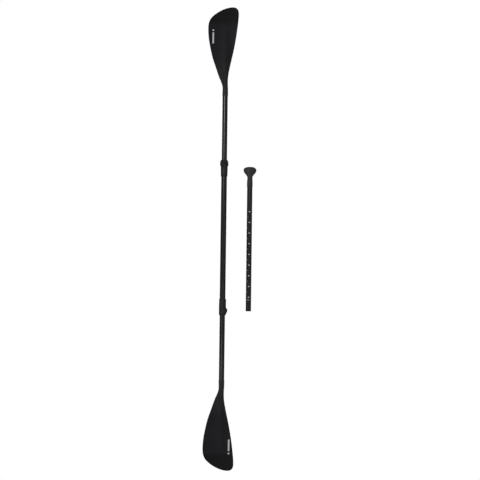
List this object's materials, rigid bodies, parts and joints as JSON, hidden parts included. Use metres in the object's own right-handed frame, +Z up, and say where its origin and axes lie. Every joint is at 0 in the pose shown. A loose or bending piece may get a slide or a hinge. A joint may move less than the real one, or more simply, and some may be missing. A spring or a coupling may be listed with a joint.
{
  "type": "convertible kayak paddle",
  "caption": "Black double-bladed paddle with tubular shaft, cam-lever clamps, dished asymmetric blades and a loose palm-grip handle with a printed scale.",
  "frame": {"origin": "on the shaft's axis at the middle of the centre tube", "axes": "+Z up along the shaft to the upper blade's tip, -Y towards the blades' power faces, +X towards the loose handle"},
  "size_m": [0.2386, 0.0531, 2.197],
  "materials": {
    "black_tube": "black anodised, semi-gloss",
    "black_plastic": "moulded, satin",
    "blade_plastic": "moulded, satin",
    "grey_plastic": "moulded, fine grain",
    "steel": "plain",
    "black_rubber": "matte",
    "print_grey": "screen print"
  },
  "bodies": {
    "centre_section": {"centre_tube": "black_tube", "upper_clamp_body": "black_plastic", "upper_clamp_pad": "grey_plastic", "upper_clamp_bolt": "steel", "upper_clamp_nut": "steel", "lower_clamp_body": "black_plastic", "lower_clamp_pad": "grey_plastic", "lower_clamp_bolt": "steel", "lower_clamp_nut": "steel"},
    "upper_lever": {"upper_clamp_lever": "grey_plastic"},
    "lower_lever": {"lower_clamp_lever": "grey_plastic"},
    "upper_seal": {"upper_mouth_seal": "black_rubber"},
    "lower_seal": {"lower_mouth_seal": "black_rubber"},
    "upper_blade_section": {"upper_blade": "blade_plastic", "upper_blade_tube": "black_tube", "upper_blade_rivet": "steel", "upper_tube_plug": "black_plastic", "upper_blade_stripe": "print_grey"},
    "lower_blade_section": {"lower_blade": "blade_plastic", "lower_blade_tube": "black_tube", "lower_blade_rivet": "steel", "lower_tube_plug": "black_plastic", "lower_blade_stripe": "print_grey"},
    "handle_section": {"palm_grip": "grey_plastic", "handle_tube": "black_tube", "grip_rivet": "steel", "handle_end_plug": "black_plastic", "handle_scale_marks": "print_grey"}
  },
  "joints": [
    {"name": "upper_lever_hinge", "type": "hinge", "parent": "centre_section", "child": "upper_lever", "pos_m": [0, -0.0184, 0.347], "axis": [-1, 0, 0], "range_deg": [0, 110]},
    {"name": "lower_lever_hinge", "type": "hinge", "parent": "centre_section", "child": "lower_lever", "pos_m": [0.0184, 0, -0.347], "axis": [0, 1, 0], "range_deg": [0, 110]},
    {"name": "upper_feather", "type": "hinge", "parent": "centre_section", "child": "upper_seal", "pos_m": [0, 0, 0.3655], "axis": [0, 0, 1], "range_deg": [-90, 90]},
    {"name": "upper_blade_slide", "type": "slide", "parent": "upper_seal", "child": "upper_blade_section", "axis": [0, 0, 1], "range_m": [-0.2, 0.15]},
    {"name": "lower_feather", "type": "hinge", "parent": "centre_section", "child": "lower_seal", "pos_m": [0, 0, -0.3655], "axis": [0, 0, 1], "range_deg": [-90, 90]},
    {"name": "lower_blade_slide", "type": "slide", "parent": "lower_seal", "child": "lower_blade_section", "axis": [0, 0, -1], "range_m": [-0.2, 0.15]},
    {"name": "handle_lift", "type": "slide", "parent": "centre_section", "child": "handle_section", "axis": [1, 0, 0], "range_m": [0, 0.3]}
  ]
}
